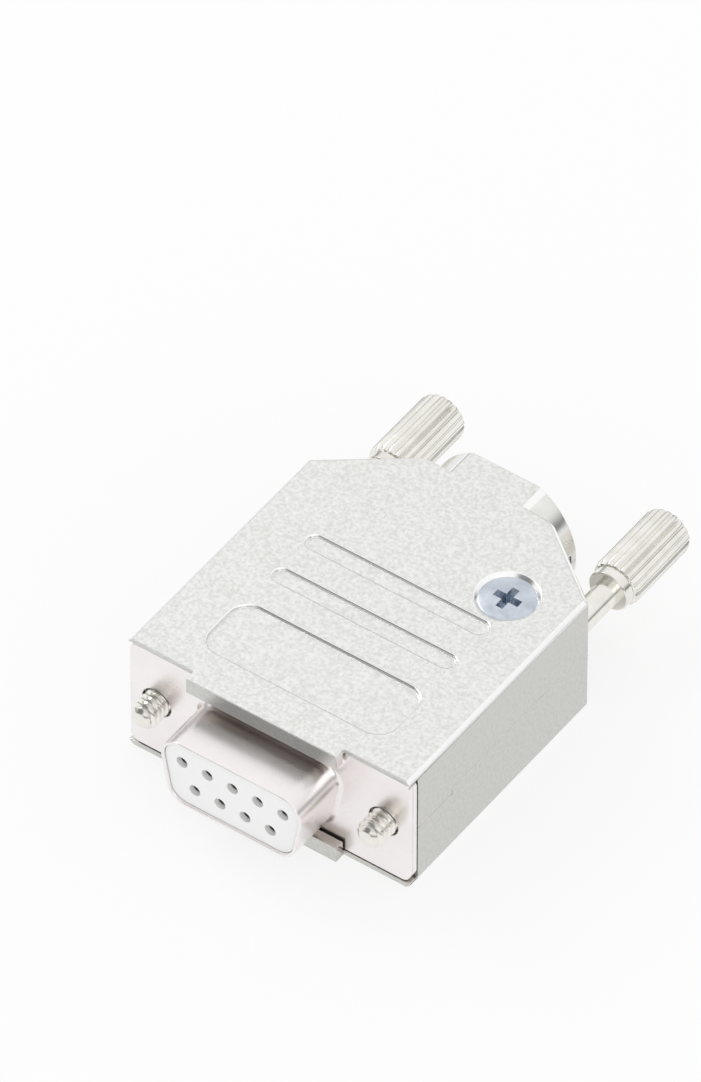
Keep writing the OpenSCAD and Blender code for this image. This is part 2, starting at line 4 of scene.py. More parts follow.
import bmesh
import bpy
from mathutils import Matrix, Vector


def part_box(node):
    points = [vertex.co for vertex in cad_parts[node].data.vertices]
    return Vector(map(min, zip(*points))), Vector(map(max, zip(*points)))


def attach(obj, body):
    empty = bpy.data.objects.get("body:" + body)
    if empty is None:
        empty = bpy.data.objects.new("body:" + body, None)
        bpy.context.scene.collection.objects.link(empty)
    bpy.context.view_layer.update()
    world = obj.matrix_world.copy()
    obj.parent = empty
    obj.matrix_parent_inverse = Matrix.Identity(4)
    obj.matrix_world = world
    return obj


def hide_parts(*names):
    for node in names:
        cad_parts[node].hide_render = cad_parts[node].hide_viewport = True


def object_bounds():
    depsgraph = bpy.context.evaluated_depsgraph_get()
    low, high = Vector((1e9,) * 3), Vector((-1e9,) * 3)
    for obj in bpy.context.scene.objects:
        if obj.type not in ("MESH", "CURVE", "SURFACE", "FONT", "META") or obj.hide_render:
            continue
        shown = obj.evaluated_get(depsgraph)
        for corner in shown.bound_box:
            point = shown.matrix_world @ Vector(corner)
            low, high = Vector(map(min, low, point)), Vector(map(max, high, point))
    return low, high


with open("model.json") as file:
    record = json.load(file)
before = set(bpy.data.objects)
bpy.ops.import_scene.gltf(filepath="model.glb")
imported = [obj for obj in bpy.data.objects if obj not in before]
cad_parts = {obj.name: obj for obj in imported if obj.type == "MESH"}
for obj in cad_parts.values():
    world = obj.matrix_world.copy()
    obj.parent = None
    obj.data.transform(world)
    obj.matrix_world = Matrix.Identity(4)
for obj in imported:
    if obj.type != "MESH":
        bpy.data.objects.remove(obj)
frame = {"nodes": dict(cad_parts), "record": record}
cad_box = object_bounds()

# The looks of a D-subminiature connector hood: its finishes, threads and knurls, and the studio round it.
# Sizes are in metres. MM turns a size in millimetres into metres.
MM = 0.001

FULL_TURN = 2 * math.pi


# ---- camera ----

VIEW_TARGET = Vector((0.07, -4.29, 25)) * MM
VIEW_BACK = Vector((0.4044, -0.5649, 0.7193)).normalized()
VIEW_DISTANCE = 1.5
VIEW_HEIGHT = 96.35 * MM     # what the frame's height covers at the target
SENSOR = 36                  # millimetres, along the frame's longer side


def make_camera():
    data = bpy.data.cameras.new("camera")
    data.sensor_width = SENSOR
    data.lens = SENSOR * VIEW_DISTANCE / VIEW_HEIGHT
    camera = bpy.data.objects.new("camera", data)
    camera.location = VIEW_TARGET + VIEW_BACK * VIEW_DISTANCE
    camera.rotation_euler = VIEW_BACK.to_track_quat("Z", "Y").to_euler()
    bpy.context.scene.collection.objects.link(camera)
    bpy.context.scene.camera = camera


make_camera()


# ---- node helpers ----

def add(tree, kind, inputs=None, **settings):
    """Adds a node. inputs gives its sockets, by name or number, a value or another node's socket."""
    made = tree.nodes.new(kind)
    for name, value in settings.items():
        setattr(made, name, value)
    for name, value in (inputs or {}).items():
        if isinstance(value, bpy.types.NodeSocket):
            tree.links.new(value, made.inputs[name])
        else:
            made.inputs[name].default_value = value
    return made


def new_tree(name):
    """A material with an empty node tree, and its output node."""
    material = bpy.data.materials.new(name)
    material.use_nodes = True
    tree = material.node_tree
    tree.nodes.clear()
    return material, tree, add(tree, "ShaderNodeOutputMaterial")


def rgb(red, green, blue):
    return (red, green, blue, 1)


def grey(level):
    return rgb(level, level, level)


def mix_colour(tree, factor, a, b):
    made = add(tree, "ShaderNodeMix", {0: factor, 6: a, 7: b}, data_type="RGBA")
    return made.outputs[2]


def mix_value(tree, factor, a, b):
    return add(tree, "ShaderNodeMix", {0: factor, 2: a, 3: b}).outputs[0]


def maths(tree, operation, a, b=0.0):
    return add(tree, "ShaderNodeMath", {0: a, 1: b}, operation=operation).outputs[0]


def product(tree, a, b):
    return maths(tree, "MULTIPLY", a, b)


def difference(tree, a, b):
    return maths(tree, "SUBTRACT", a, b)


def unsigned(tree, value):
    return maths(tree, "ABSOLUTE", value)


def height_of(tree, vector):
    return add(tree, "ShaderNodeSeparateXYZ", {0: vector}).outputs[2]


def remap(tree, value, low, high, to_low=0.0, to_high=1.0):
    return add(tree, "ShaderNodeMapRange", {0: value, 1: low, 2: high, 3: to_low, 4: to_high}).outputs[0]


def noise(tree, place, size, detail=2.0, roughness=0.5):
    """Noise whose features are about size metres across."""
    return add(tree, "ShaderNodeTexNoise",
               {"Vector": place, "Scale": 1 / size, "Detail": detail, "Roughness": roughness}).outputs[0]


def bump(tree, height, depth, normal=None):
    inputs = {"Height": height, "Strength": 1.0, "Distance": depth}
    if normal is not None:
        inputs["Normal"] = normal
    return add(tree, "ShaderNodeBump", inputs).outputs[0]


def object_place(tree):
    return add(tree, "ShaderNodeTexCoord").outputs["Object"]


def finish_with(tree, output, inputs):
    shader = add(tree, "ShaderNodeBsdfPrincipled", inputs)
    tree.links.new(shader.outputs[0], output.inputs[0])


# ---- materials ----

EDGE_R = 0.06 * MM           # softens the shading of edges that aren't rounded


def soft_edge(tree, radius=EDGE_R):
    return add(tree, "ShaderNodeBevel", {"Radius": radius}, samples=6).outputs[0]


def near_walls(tree, distance):
    """1 on open faces, falling to 0 deep in corners, where the castings get painted shade."""
    return add(tree, "ShaderNodeAmbientOcclusion", {"Distance": distance}, samples=8).outputs["AO"]


SHELL_LOW, SHELL_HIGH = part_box("lower_shell")
HOOD_LOW, HOOD_HIGH = cad_box[0][2], cad_box[1][2]
# Less than from the hood's centre to any outside wall, and more than to any inside one.
WALL_REACH = 13 * MM
GROOVE_REACH = 0.3 * MM      # how deep below the flat outsides the grooves' floors lie
BEVEL_REACH = 0.42 * MM      # how deep below the flat outsides their slanted edges reach


def within_outside(tree, height, depth, softness):
    """1 where a height is less than depth from the hood's top or bottom, falling to 0 over softness."""
    from_middle = unsigned(tree, difference(tree, height, (HOOD_LOW + HOOD_HIGH) / 2))
    limit = (HOOD_HIGH - HOOD_LOW) / 2 - depth
    return remap(tree, from_middle, limit - softness, limit)


def casting_shares(tree, coordinates):
    """Four shares, each 1 on its faces and 0 elsewhere: the flat outsides of the closed hood with the floors
    of their grooves, the outside walls, the flat faces inside, and the slanted edges of the flat outsides."""
    place = coordinates.outputs["Object"]
    normal = coordinates.outputs["Normal"]
    height = height_of(tree, place)
    level = unsigned(tree, height_of(tree, normal))    # 1 on level faces, 0 on upright ones
    is_flat = remap(tree, level, 0.97, 0.99)
    flats = product(tree, within_outside(tree, height, GROOVE_REACH, 0.06 * MM), is_flat)
    middle = (Vector(SHELL_LOW) + Vector(SHELL_HIGH)) / 2
    middle.z = 0             # walls are upright, so height doesn't matter
    from_centre = add(tree, "ShaderNodeVectorMath", {0: place, 1: middle}, operation="SUBTRACT").outputs[0]
    outward = add(tree, "ShaderNodeVectorMath", {0: from_centre, 1: normal}, operation="DOT_PRODUCT")
    is_outside = remap(tree, outward.outputs["Value"], WALL_REACH, WALL_REACH + 0.2 * MM)
    walls = product(tree, is_outside, remap(tree, level, 0.2, 0.1))
    is_slanted = difference(tree, remap(tree, level, 0.25, 0.35), is_flat)
    edges = product(tree, within_outside(tree, height, BEVEL_REACH, 0.08 * MM), is_slanted)
    return flats, walls, difference(tree, is_flat, flats), edges


def zinc_casting():
    """Nickel-plated die casting: satin and speckled on its flat outsides, duller and darker on its outside
    walls with painted shade, smooth on the floors inside, and bright elsewhere, with painted brown shade in
    its corners and a painted highlight of near white on the slanted edges of its flat outsides."""
    material, tree, output = new_tree("zinc_casting")
    coordinates = add(tree, "ShaderNodeTexCoord")
    place = coordinates.outputs["Object"]
    flats, walls, floors, edges = casting_shares(tree, coordinates)
    speckle = noise(tree, place, 0.36 * MM, 3.0, 0.6)
    fine = noise(tree, place, 0.16 * MM, 2.0)
    cloud = noise(tree, place, 3 * MM, 4.0, 0.6)
    cloudy = remap(tree, cloud, 0.35, 0.65)
    speckled = remap(tree, speckle, 0.3, 0.7)

    open_metal = mix_colour(tree, cloudy, rgb(0.77, 0.765, 0.735), rgb(0.86, 0.86, 0.84))
    # Painted shade: the bright metal darkens to brown near walls and in corners, where shade falls.
    clear_of_painted_shade = remap(tree, near_walls(tree, 5 * MM), 0.2, 0.75)
    bright = mix_colour(tree, clear_of_painted_shade, rgb(0.46, 0.42, 0.37), open_metal)
    sharply_speckled = remap(tree, speckle, 0.35, 0.65)
    flat_metal = mix_colour(tree, sharply_speckled, rgb(0.71, 0.71, 0.69), rgb(0.87, 0.87, 0.855))
    # Painted shade: the outside walls get a darker base colour than the flat outsides, though the plating is
    # the same.
    painted_shade_wall_metal = mix_colour(tree, speckled, rgb(0.57, 0.57, 0.545), rgb(0.67, 0.67, 0.65))
    colour = mix_colour(tree, walls, mix_colour(tree, flats, bright, flat_metal), painted_shade_wall_metal)
    # Painted highlight: the slanted edges of the flat outsides are made nearly white.
    colour = mix_colour(tree, edges, colour, rgb(0.97, 0.97, 0.965))

    bright_rough = mix_value(tree, cloudy, 0.12, 0.22)
    floor_rough = mix_value(tree, cloudy, 0.28, 0.36)
    flat_rough = mix_value(tree, speckled, 0.5, 0.4)
    rough = mix_value(tree, floors, bright_rough, floor_rough)
    rough = mix_value(tree, flats, rough, flat_rough)
    rough = mix_value(tree, walls, rough, 0.34)

    normal = bump(tree, product(tree, flats, speckle), 0.028 * MM, soft_edge(tree))
    normal = bump(tree, product(tree, maths(tree, "ADD", floors, walls), fine), 0.012 * MM, normal)
    normal = bump(tree, cloud, 0.012 * MM, normal)
    finish_with(tree, output, {"Base Color": colour, "Metallic": 1.0, "Roughness": rough, "Normal": normal})
    return material


def turned_metal(name, dark, light, rough_low, rough_high):
    """Plated turned steel, with faint rings left by the tool and a little cloudiness."""
    material, tree, output = new_tree(name)
    place = object_place(tree)
    cloud = noise(tree, place, 1.6 * MM, 3.0)
    stretched = add(tree, "ShaderNodeMapping", {"Vector": place, "Scale": (0.05, 1.0, 0.05)}).outputs[0]
    rings = noise(tree, stretched, 0.12 * MM, 2.0)
    colour = mix_colour(tree, remap(tree, cloud, 0.35, 0.65), rgb(*dark), rgb(*light))
    rough = remap(tree, cloud, 0.3, 0.7, rough_low, rough_high)
    normal = bump(tree, rings, 0.0012 * MM, soft_edge(tree))
    finish_with(tree, output, {"Base Color": colour, "Metallic": 1.0, "Roughness": rough, "Normal": normal})
    return material


def plated_sheet(name, dark, light, rough_low, rough_high):
    """Drawn tin-plated sheet, with soft patches in its plating."""
    material, tree, output = new_tree(name)
    place = object_place(tree)
    cloud = noise(tree, place, 7 * MM, 3.0, 0.5)
    fine = noise(tree, place, 0.2 * MM, 2.0)
    colour = mix_colour(tree, remap(tree, cloud, 0.3, 0.7), rgb(*dark), rgb(*light))
    rough = remap(tree, cloud, 0.3, 0.7, rough_low, rough_high)
    normal = bump(tree, fine, 0.002 * MM, soft_edge(tree, 0.12 * MM))
    finish_with(tree, output, {"Base Color": colour, "Metallic": 1.0, "Roughness": rough, "Normal": normal})
    return material


def moulded_plastic(name, dark, light, rough_low, rough_high, grain, grain_depth):
    """Injection-moulded plastic with a fine grain."""
    material, tree, output = new_tree(name)
    place = object_place(tree)
    cloud = noise(tree, place, 3 * MM, 3.0)
    fine = noise(tree, place, grain, 3.0)
    colour = mix_colour(tree, cloud, rgb(*dark), rgb(*light))
    rough = remap(tree, cloud, 0.3, 0.7, rough_low, rough_high)
    normal = bump(tree, fine, grain_depth, soft_edge(tree))
    finish_with(tree, output, {"Base Color": colour, "Roughness": rough, "Normal": normal, "IOR": 1.75})
    return material


MATERIALS = {
    "zinc_casting": zinc_casting(),
    "nickel_steel": turned_metal("nickel_steel", (0.82, 0.80, 0.75), (0.90, 0.88, 0.83), 0.14, 0.24),
    "zinc_plated_screw": turned_metal("zinc_plated_screw", (0.50, 0.555, 0.63), (0.66, 0.70, 0.76), 0.2, 0.3),
    "tinned_steel": plated_sheet("tinned_steel", (0.89, 0.85, 0.845), (0.95, 0.915, 0.915), 0.24, 0.3),
    "dark_plastic": moulded_plastic("dark_plastic", (0.021, 0.011, 0.009), (0.028, 0.017, 0.015), 0.2, 0.3,
                                    0.25 * MM, 0.004 * MM),
    "white_plastic": moulded_plastic("white_plastic", (0.93, 0.93, 0.935), (0.95, 0.95, 0.95), 0.4, 0.5,
                                     0.3 * MM, 0.003 * MM),
    "contact_metal": turned_metal("contact_metal", (0.74, 0.72, 0.68), (0.84, 0.82, 0.78), 0.2, 0.3),
}

SLOTS = {
    "lower_shell": "zinc_casting",
    "upper_shell": "zinc_casting",
    "cover_screw": "zinc_plated_screw",
    "clamp_lower": "dark_plastic",
    "clamp_upper": "dark_plastic",
    "jackscrew_left": "nickel_steel",
    "jackscrew_right": "nickel_steel",
    "connector_front_shell": "tinned_steel",
    "connector_rear_shell": "tinned_steel",
    "connector_front_insulator": "white_plastic",
    "connector_rear_insulator": "white_plastic",
}


def slot_of(node):
    """The material slot of a CAD node. All that isn't listed is a contact."""
    return SLOTS.get(node, "contact_metal")


for node_name, cad_object in frame["nodes"].items():
    cad_object.data.materials.clear()
    cad_object.data.materials.append(MATERIALS[slot_of(node_name)])


# ---- mesh helpers ----

def body_of_node(node):
    bodies = frame["record"]["behaviour"]["bodies"]
    return next(body for body, nodes in bodies.items() if node in nodes)


SHARP_ANGLE = math.radians(32)


def shade(mesh):
    """Smooth shading that stays sharp where faces meet at more than SHARP_ANGLE."""
    for face in mesh.polygons:
        face.use_smooth = True
    mesh.set_sharp_from_angle(angle=SHARP_ANGLE)


def place_piece(name, mesh, node, replaces=True):
    """Links a mesh as a piece that moves with a CAD node's body, in that node's material."""
    piece = bpy.data.objects.new(name, mesh)
    bpy.context.scene.collection.objects.link(piece)
    mesh.materials.clear()
    mesh.materials.append(MATERIALS[slot_of(node)])
    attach(piece, body_of_node(node))
    slot_of(node)
    if replaces:
        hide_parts(node)


MERGE_DISTANCE = 0.0005 * MM


def closed_mesh(name, verts, faces):
    """A mesh with its doubled points merged, its open rings capped and all its faces looking outward."""
    mesh = bpy.data.meshes.new(name)
    mesh.from_pydata(verts, [], faces)
    shape = bmesh.new()
    shape.from_mesh(mesh)
    bmesh.ops.remove_doubles(shape, verts=shape.verts, dist=MERGE_DISTANCE)
    bmesh.ops.dissolve_degenerate(shape, edges=shape.edges, dist=MERGE_DISTANCE)
    bmesh.ops.holes_fill(shape, edges=shape.edges)
    bmesh.ops.recalc_face_normals(shape, faces=shape.faces)
    shape.to_mesh(mesh)
    shape.free()
    return mesh


def turned_rings(profile, around, radius_at, point_at, first):
    """Points and faces of a turned shape, for a profile, a list of (distance, radius). radius_at(distance,
    radius, turn) may change each point's radius, with turn in full turns. first is the number of the first
    point."""
    verts = []
    faces = []
    for distance, radius in profile:
        for step in range(around):
            turn = step / around
            verts.append(point_at(distance, radius_at(distance, radius, turn), turn))
    for ring in range(len(profile) - 1):
        for step in range(around):
            a = first + ring * around + step
            b = first + ring * around + (step + 1) % around
            faces.append((a, b, b + around, a + around))
    return verts, faces


def middle_of(node, axis):
    low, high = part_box(node)
    return (low[axis] + high[axis]) / 2


ROWS_PER_TURN = 10


def thread_rows(low, high, pitch, around, radius_at, point_at):
    """Points and faces of a thread from low to high, in rows that follow its helix. radius_at(distance,
    phase) has phase in pitches, with a crest at each whole number."""
    verts = []
    faces = []
    rows = ROWS_PER_TURN * (math.ceil((high - low) / pitch) + 2)
    for row in range(rows):
        phase = row / ROWS_PER_TURN
        for step in range(around):
            turn = step / around
            distance = min(high, max(low, low + (phase + turn - 1) * pitch))
            verts.append(point_at(distance, radius_at(distance, phase), turn))
    for row in range(rows - 1):
        for step in range(around):
            a = row * around + step
            b = a + 1 if step + 1 < around else (row + ROWS_PER_TURN) * around
            if b + around < rows * around:
                faces.append((a, b, b + around, a + around))
    return verts, faces


def base_radius(profile, at):
    """Radius of a turned profile, a list of (distance, radius), at a distance along it."""
    for (s0, r0), (s1, r1) in zip(profile, profile[1:]):
        if s0 <= at <= s1 and s1 > s0:
            return r0 + (r1 - r0) * (at - s0) / (s1 - s0)
    return profile[-1][1]


CREST_EDGE = 0.88            # from the middle of a thread's groove, in half pitches
ROOT_EDGE = 0.2


def groove_depth(phase, depth):
    """Depth of a V thread's groove at phase, which is a whole number at each crest."""
    from_root = abs(phase % 1 - 0.5) * 2
    share = (CREST_EDGE - from_root) / (CREST_EDGE - ROOT_EDGE)
    return depth * min(1, max(0, share))


# ---- screws ----

THREAD_FADE = 0.5 * MM       # how far before its end a thread starts to run out
AROUND = 144                 # points round a screw

JACK_TIP_LENGTH = 6.5 * MM
JACK_HEAD_LENGTH = 8.8 * MM
JACK_THREAD_R = 1.42 * MM
# Its rounded point, as distances from the end with depths below the thread's radius.
JACK_POINT = ((0, 0.64 * MM), (0.12 * MM, 0.47 * MM), (0.6 * MM, 0))
JACK_THREAD_DEPTH = 0.36 * MM
JACK_PITCH = 0.635 * MM
JACK_SHANK_R = 1.3 * MM
JACK_SHOULDER_R = 1.8 * MM
JACK_SHOULDER_LENGTH = 1.6 * MM
JACK_TAPER = 0.5 * MM        # from the shoulder down to the shank
JACK_NECK_LENGTH = 1 * MM
JACK_NECK_DROP = 0.35 * MM   # the neck's radius below the head's
JACK_EDGE = 0.12 * MM
KNURL_COUNT = 18
KNURL_DEPTH = 0.3 * MM
KNURL_SHARE = 0.62           # of its pitch that a groove takes
KNURL_ROUND = 0.5 * MM       # of the head's ends


def knurl_depth(turn):
    """Depth of a straight knurl's rounded grooves at turn, in full turns."""
    from_groove = abs((turn * KNURL_COUNT + 0.5) % 1 - 0.5) * 2
    return KNURL_DEPTH * max(0, 1 - (from_groove / KNURL_SHARE) ** 2)


def make_jackscrew(node):
    """Thumbscrew: threaded tip, shoulder, long shank and a straight-knurled head."""
    low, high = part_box(node)
    middle_x, middle_z = middle_of(node, 0), middle_of(node, 2)
    head_r = (high[0] - low[0]) / 2
    neck_r = head_r - JACK_NECK_DROP
    tip = low[1]
    shoulder = tip + JACK_TIP_LENGTH
    shoulder_end = shoulder + JACK_SHOULDER_LENGTH
    head = high[1] - JACK_HEAD_LENGTH
    neck = head - JACK_NECK_LENGTH
    end = high[1]
    round_r, round_run = head_r - KNURL_ROUND * 0.35, KNURL_ROUND * 0.3
    tip_profile = [(tip + run, JACK_THREAD_R - drop) for run, drop in JACK_POINT]
    tip_profile.append((shoulder, JACK_THREAD_R))
    profile = [
        (shoulder, JACK_THREAD_R), (shoulder, JACK_SHOULDER_R - JACK_EDGE),
        (shoulder + JACK_EDGE, JACK_SHOULDER_R), (shoulder_end - JACK_EDGE, JACK_SHOULDER_R),
        (shoulder_end, JACK_SHOULDER_R - JACK_EDGE), (shoulder_end + JACK_TAPER, JACK_SHANK_R),
        (neck, JACK_SHANK_R), (neck, neck_r - JACK_EDGE), (neck + JACK_EDGE, neck_r), (head, neck_r),
        (head, head_r - KNURL_ROUND), (head + round_run, round_r), (head + KNURL_ROUND, head_r),
        (end - KNURL_ROUND, head_r), (end - round_run, round_r), (end, head_r - KNURL_ROUND)]

    def thread_radius(distance, phase):
        fade = min(1, (shoulder - distance) / THREAD_FADE)
        cut = JACK_THREAD_R - groove_depth(phase, JACK_THREAD_DEPTH) * fade
        return min(base_radius(tip_profile, distance), cut)

    def knurled_radius(distance, radius, turn):
        return min(radius, head_r - knurl_depth(turn)) if radius > neck_r else radius

    def point_at(distance, radius, turn):
        angle = turn * FULL_TURN
        return (middle_x + radius * math.cos(angle), distance, middle_z + radius * math.sin(angle))

    verts, faces = thread_rows(tip, shoulder, JACK_PITCH, AROUND, thread_radius, point_at)
    more_verts, more_faces = turned_rings(profile, AROUND, knurled_radius, point_at, len(verts))
    mesh = closed_mesh(node, verts + more_verts, faces + more_faces)
    shade(mesh)
    place_piece(node + "_turned", mesh, node)


CROSS_DEPTH = 1.3 * MM
CROSS_RISE = 0.1 * MM        # how far the cutter stands above the head
CROSS_TOP = (1.42 * MM, 0.4 * MM)       # half an arm's span and half its width, at the cutter's top
CROSS_BOTTOM = (0.62 * MM, 0.2 * MM)    # the same at its bottom


def cross_cutter(centre, top):
    """A tapered cross that cuts a recess down from height top."""
    verts = []
    for z, (reach, half) in ((top + CROSS_RISE, CROSS_TOP), (top - CROSS_DEPTH, CROSS_BOTTOM)):
        corner = [(reach, -half), (reach, half), (half, half)]
        for quarter in range(4):
            cos, sin = round(math.cos(quarter * math.pi / 2)), round(math.sin(quarter * math.pi / 2))
            verts += [(centre[0] + x * cos - y * sin, centre[1] + x * sin + y * cos, z) for x, y in corner]
    count = len(verts) // 2
    faces = [(i, (i + 1) % count, (i + 1) % count + count, i + count) for i in range(count)]
    faces += [tuple(range(count)), tuple(range(count, 2 * count))]
    cutter = bpy.data.objects.new("cross_cutter", closed_mesh("cross_cutter", verts, faces))
    bpy.context.scene.collection.objects.link(cutter)
    return cutter


def evaluated_mesh(target):
    """The mesh that an object's modifiers make. The object is removed."""
    ready = target.evaluated_get(bpy.context.evaluated_depsgraph_get())
    result = bpy.data.meshes.new_from_object(ready)
    bpy.data.objects.remove(target)
    return result


def cut_away(mesh, cutter):
    """The mesh less the cutter, which is removed."""
    target = bpy.data.objects.new("target", mesh)
    bpy.context.scene.collection.objects.link(target)
    cut = target.modifiers.new("cut", "BOOLEAN")
    cut.operation = "DIFFERENCE"
    cut.solver = "EXACT"
    cut.object = cutter
    result = evaluated_mesh(target)
    bpy.data.objects.remove(cutter)
    return result


SCREW_PITCH = 0.5 * MM
SCREW_THREAD_DEPTH = 0.3 * MM
SCREW_R = 1.42 * MM
SCREW_TIP_CHAMFER = 0.4 * MM
SCREW_PLAIN_LENGTH = 0.6 * MM           # without thread, under the head
# The rim of its head, as heights from the top with radii from the head's radius.
SCREW_RIM = ((-0.22 * MM, -0.1 * MM), (-0.12 * MM, 0), (-0.05 * MM, 0), (0, -0.12 * MM))


def make_cover_screw():
    """Countersunk screw with a metric thread and a cross recess."""
    node = "cover_screw"
    low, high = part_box(node)
    centre = (middle_of(node, 0), middle_of(node, 1))
    head_r = (high[0] - low[0]) / 2
    neck = high[2] - (head_r - SCREW_R)
    tip_profile = [
        (low[2], SCREW_R - SCREW_TIP_CHAMFER), (low[2] + SCREW_TIP_CHAMFER, SCREW_R), (neck, SCREW_R)]
    profile = [(neck, SCREW_R)] + [(high[2] + rise, head_r + growth) for rise, growth in SCREW_RIM]

    def thread_radius(distance, phase):
        fade = min(1, max(0, (neck - SCREW_PLAIN_LENGTH - distance) / THREAD_FADE))
        cut = SCREW_R - groove_depth(phase, SCREW_THREAD_DEPTH) * fade
        return min(base_radius(tip_profile, distance), cut)

    def plain_radius(distance, radius, turn):
        return radius

    def point_at(distance, radius, turn):
        angle = turn * FULL_TURN
        return (centre[0] + radius * math.cos(angle), centre[1] + radius * math.sin(angle), distance)

    verts, faces = thread_rows(low[2], neck, SCREW_PITCH, AROUND, thread_radius, point_at)
    more_verts, more_faces = turned_rings(profile, AROUND, plain_radius, point_at, len(verts))
    mesh = closed_mesh(node, verts + more_verts, faces + more_faces)
    mesh = cut_away(mesh, cross_cutter(centre, high[2]))
    shade(mesh)
    place_piece("cover_screw_threaded", mesh, node)


RIDGE_AROUND = 48            # points round one turn of the boss's thread
RIDGE_TURNS = 9
RIDGE_TURNS_BELOW = 4        # of them, below the cover screw's tip
RIDGE_OUTER_R = 1.62 * MM    # inside the boss's wall
RIDGE_INNER_R = 1.2 * MM
RIDGE_ROOT = 0.05 * MM       # how far the ridge still stands out at its two ends
RIDGE_OUTER_HALF = 0.23 * MM
RIDGE_INNER_HALF = 0.05 * MM
RIDGE_RUN_IN = 3             # a third of a turn at each end


def make_boss_thread():
    """The thread inside the lower shell's boss, as one ridge that runs in the cover screw's groove."""
    centre_x, centre_y = middle_of("cover_screw", 0), middle_of("cover_screw", 1)
    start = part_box("cover_screw")[0][2] - RIDGE_TURNS_BELOW * SCREW_PITCH + SCREW_PITCH / 2
    ends_r = RIDGE_OUTER_R - RIDGE_ROOT
    verts = []
    for step in range(RIDGE_TURNS * RIDGE_AROUND + 1):
        turn = step / RIDGE_AROUND
        run_in = min(1, turn * RIDGE_RUN_IN, (RIDGE_TURNS - turn) * RIDGE_RUN_IN)
        reach = ends_r + (RIDGE_INNER_R - ends_r) * run_in
        cos, sin = math.cos(turn * FULL_TURN), math.sin(turn * FULL_TURN)
        z = start + turn * SCREW_PITCH
        section = ((RIDGE_OUTER_R, -RIDGE_OUTER_HALF), (reach, -RIDGE_INNER_HALF),
                   (reach, RIDGE_INNER_HALF), (RIDGE_OUTER_R, RIDGE_OUTER_HALF))
        verts += [(centre_x + radius * cos, centre_y + radius * sin, z + rise) for radius, rise in section]
    faces = []
    for step in range(RIDGE_TURNS * RIDGE_AROUND):
        for side in range(4):
            a, b = step * 4 + side, step * 4 + (side + 1) % 4
            faces.append((a, b, b + 4, a + 4))
    mesh = closed_mesh("boss_thread", verts, faces)
    shade(mesh)
    place_piece("boss_thread", mesh, "lower_shell", replaces=False)


make_jackscrew("jackscrew_left")
make_jackscrew("jackscrew_right")
make_cover_screw()
make_boss_thread()


# ---- rounded copies of the castings and mouldings ----

CAD_MERGE_DISTANCE = 0.001 * MM
FLAT_ANGLE = math.radians(1)            # faces that meet at less are one flat face
AREA_WEIGHT = 80
PLACE_TOLERANCE = 0.01 * MM


def sharp_edges(shape):
    return [edge for edge in shape.edges
            if len(edge.link_faces) == 2 and edge.calc_face_angle() > SHARP_ANGLE]


def round_edges(shape, edges, width, segments):
    bmesh.ops.bevel(shape, geom=edges, offset=width, offset_type="OFFSET", segments=segments, profile=0.5,
                    affect="EDGES", clamp_overlap=False, miter_outer="ARC")


def flat_normals(mesh):
    """The mesh as triangles, with normals weighed by the whole faces' areas, so that large faces stay flat
    up to their rounded edges."""
    target = bpy.data.objects.new("target", mesh)
    bpy.context.scene.collection.objects.link(target)
    weigh = target.modifiers.new("weigh", "WEIGHTED_NORMAL")
    weigh.mode = "FACE_AREA"
    weigh.weight = AREA_WEIGHT
    weigh.keep_sharp = True
    split = target.modifiers.new("split", "TRIANGULATE")
    split.keep_custom_normals = True
    return evaluated_mesh(target)


def rounded_copy(node, width, is_special=None, special_width=0.0):
    """The CAD solid's own mesh with its edges rounded. is_special picks, by the place of their ends, edges
    that are rounded first, by special_width."""
    mesh = frame["nodes"][node].data.copy()
    shape = bmesh.new()
    shape.from_mesh(mesh)
    bmesh.ops.remove_doubles(shape, verts=shape.verts, dist=CAD_MERGE_DISTANCE)
    bmesh.ops.dissolve_limit(shape, angle_limit=FLAT_ANGLE, verts=shape.verts, edges=shape.edges)
    if is_special:
        special = [edge for edge in sharp_edges(shape) if all(is_special(vert.co) for vert in edge.verts)]
        round_edges(shape, special, special_width, segments=4)
    round_edges(shape, sharp_edges(shape), width, segments=2)
    shape.to_mesh(mesh)
    shape.free()
    if "custom_normal" in mesh.attributes:
        mesh.attributes.remove(mesh.attributes["custom_normal"])
    shade(mesh)
    place_piece(node + "_rounded", flat_normals(mesh), node)


GROOVE_HALF_WIDTH = 12.5 * MM
GROOVES_START = SHELL_LOW[1] + 3 * MM
GROOVES_END = SHELL_LOW[1] + 22.5 * MM


def is_groove_rim(place):
    """On the rim of a grip groove or of the label recess, in either flat outside of the hood."""
    from_outside = min(abs(place[2] - HOOD_LOW), abs(place[2] - HOOD_HIGH))
    is_within = abs(place[0]) < GROOVE_HALF_WIDTH and GROOVES_START < place[1] < GROOVES_END
    return is_within and from_outside < PLACE_TOLERANCE


FLANGE_THICKNESS = 0.55 * MM
FLANGE_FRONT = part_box("connector_front_shell")[1][1] - FLANGE_THICKNESS
DRAWN_HALF_WIDTH = 9.5 * MM


def is_drawn_root(place):
    """On the line where the drawn D shell leaves the flange's front face."""
    return abs(place[1] - FLANGE_FRONT) < PLACE_TOLERANCE and abs(place[0]) < DRAWN_HALF_WIDTH


for casting in ("lower_shell", "upper_shell"):
    rounded_copy(casting, 0.1 * MM, is_groove_rim, 0.22 * MM)
for clamp in ("clamp_lower", "clamp_upper"):
    rounded_copy(clamp, 0.14 * MM)
rounded_copy("connector_front_shell", 0.1 * MM, is_drawn_root, 0.5 * MM)


# ---- studio ----

FLOOR_SIZE = 3.0
FLOOR_DROP = 0.05 * MM
FLOOR_WHITE = 0.8            # share of plain white in the floor where the camera or a mirror sees it


